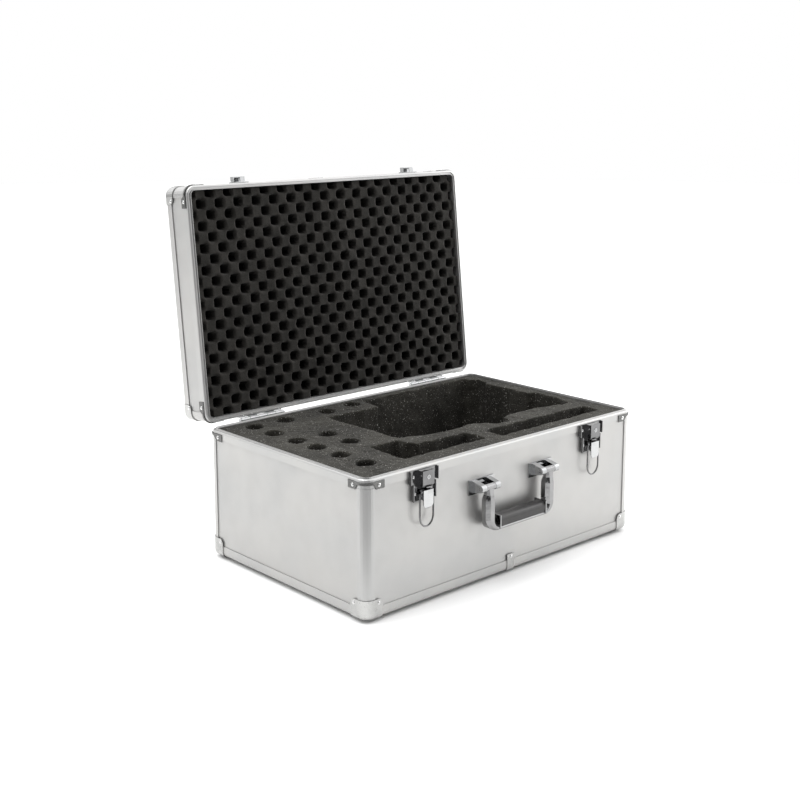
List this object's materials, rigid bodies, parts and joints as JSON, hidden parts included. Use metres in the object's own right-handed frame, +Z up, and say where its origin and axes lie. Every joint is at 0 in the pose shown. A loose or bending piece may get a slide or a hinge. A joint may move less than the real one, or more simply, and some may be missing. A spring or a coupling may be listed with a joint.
{
  "type": "telescope carry case",
  "caption": "Aluminium-framed telescope carry case with a hinged lid held open, cut foam for tube and eyepieces, convoluted lid foam, lever latches with wire bails, and a folding handle.",
  "frame": {"origin": "middle of the underside of the floor panel", "axes": "+X to the right of someone facing the latches, +Y from the latches towards the hinges, +Z up"},
  "size_m": [0.623, 0.5412, 0.63],
  "materials": {
    "satin_panel": "satin silver-grey skin on a board panel",
    "bright_extrusion": "bright brushed aluminium extrusion",
    "chromed_steel": "polished chrome plate on pressed steel",
    "foot_rubber": "matt black rubber",
    "black_grip": "black grained plastic",
    "base_foam": "dark grey open-cell foam, cut",
    "lid_foam": "black convoluted open-cell foam"
  },
  "bodies": {
    "case": {"base_front_panel": "satin_panel", "base_back_panel": "satin_panel", "base_left_panel": "satin_panel", "base_right_panel": "satin_panel", "base_floor_panel": "satin_panel", "base_post_front_left": "bright_extrusion", "base_post_front_right": "bright_extrusion", "base_post_back_left": "bright_extrusion", "base_post_back_right": "bright_extrusion", "base_edge_left": "bright_extrusion", "base_edge_right": "bright_extrusion", "base_rim": "bright_extrusion", "base_corner_front_left": "chromed_steel", "base_corner_front_right": "chromed_steel", "base_corner_back_left": "chromed_steel", "base_corner_back_right": "chromed_steel", "foot_front_left": "foot_rubber", "foot_front_right": "foot_rubber", "foot_back_left": "foot_rubber", "foot_back_right": "foot_rubber", "foam_insert": "base_foam", "foam_floor_pad": "base_foam", "latch_left_plate": "chromed_steel", "latch_right_plate": "chromed_steel", "handle_bracket_left": "chromed_steel", "handle_bracket_right": "chromed_steel", "handle_pin_left": "chromed_steel", "handle_pin_right": "chromed_steel", "hinge_left_base_leaf": "chromed_steel", "hinge_right_base_leaf": "chromed_steel"},
    "lid": {"lid_top_panel": "satin_panel", "lid_front_panel": "satin_panel", "lid_back_panel": "satin_panel", "lid_left_panel": "satin_panel", "lid_right_panel": "satin_panel", "lid_post_front_left": "bright_extrusion", "lid_post_front_right": "bright_extrusion", "lid_post_back_left": "bright_extrusion", "lid_post_back_right": "bright_extrusion", "lid_edge_left": "bright_extrusion", "lid_edge_right": "bright_extrusion", "lid_rim": "bright_extrusion", "lid_corner_front_left": "chromed_steel", "lid_corner_front_right": "chromed_steel", "lid_corner_back_left": "chromed_steel", "lid_corner_back_right": "chromed_steel", "lid_foam": "lid_foam", "hinge_left_lid_leaf": "chromed_steel", "hinge_right_lid_leaf": "chromed_steel", "lid_striker_left": "chromed_steel", "lid_striker_right": "chromed_steel"},
    "handle": {"handle_frame": "chromed_steel", "handle_grip": "black_grip"},
    "latch_left_lever": {"latch_left_lever": "chromed_steel"},
    "latch_left_bail": {"latch_left_bail": "chromed_steel"},
    "latch_left_key_barrel": {"latch_left_key_barrel": "chromed_steel"},
    "latch_right_lever": {"latch_right_lever": "chromed_steel"},
    "latch_right_bail": {"latch_right_bail": "chromed_steel"},
    "latch_right_key_barrel": {"latch_right_key_barrel": "chromed_steel"}
  },
  "joints": [
    {"name": "lid_hinge", "type": "hinge", "parent": "case", "child": "lid", "pos_m": [0, 0.2035, 0.215], "axis": [-1, 0, 0], "range_deg": [-96, 0]},
    {"name": "handle_swing", "type": "hinge", "parent": "case", "child": "handle", "pos_m": [0, -0.2165, 0.1593], "axis": [-1, 0, 0], "range_deg": [0, 100]},
    {"name": "latch_left_lever_pivot", "type": "hinge", "parent": "case", "child": "latch_left_lever", "pos_m": [-0.1955, -0.206, 0.1778], "axis": [-1, 0, 0], "range_deg": [0, 100]},
    {"name": "latch_left_bail_pivot", "type": "hinge", "parent": "latch_left_lever", "child": "latch_left_bail", "pos_m": [-0.1955, -0.2065, 0.1728], "axis": [1, 0, 0], "range_deg": [-184, 0]},
    {"name": "latch_left_key_turn", "type": "hinge", "parent": "case", "child": "latch_left_key_barrel", "pos_m": [-0.1955, -0.211, 0.2008], "axis": [0, 1, 0], "range_deg": [0, 90]},
    {"name": "latch_right_lever_pivot", "type": "hinge", "parent": "case", "child": "latch_right_lever", "pos_m": [0.1955, -0.206, 0.1778], "axis": [-1, 0, 0], "range_deg": [0, 100]},
    {"name": "latch_right_bail_pivot", "type": "hinge", "parent": "latch_right_lever", "child": "latch_right_bail", "pos_m": [0.1955, -0.2065, 0.1728], "axis": [1, 0, 0], "range_deg": [-184, 0]},
    {"name": "latch_right_key_turn", "type": "hinge", "parent": "case", "child": "latch_right_key_barrel", "pos_m": [0.1955, -0.211, 0.2008], "axis": [0, 1, 0], "range_deg": [0, 90]}
  ]
}
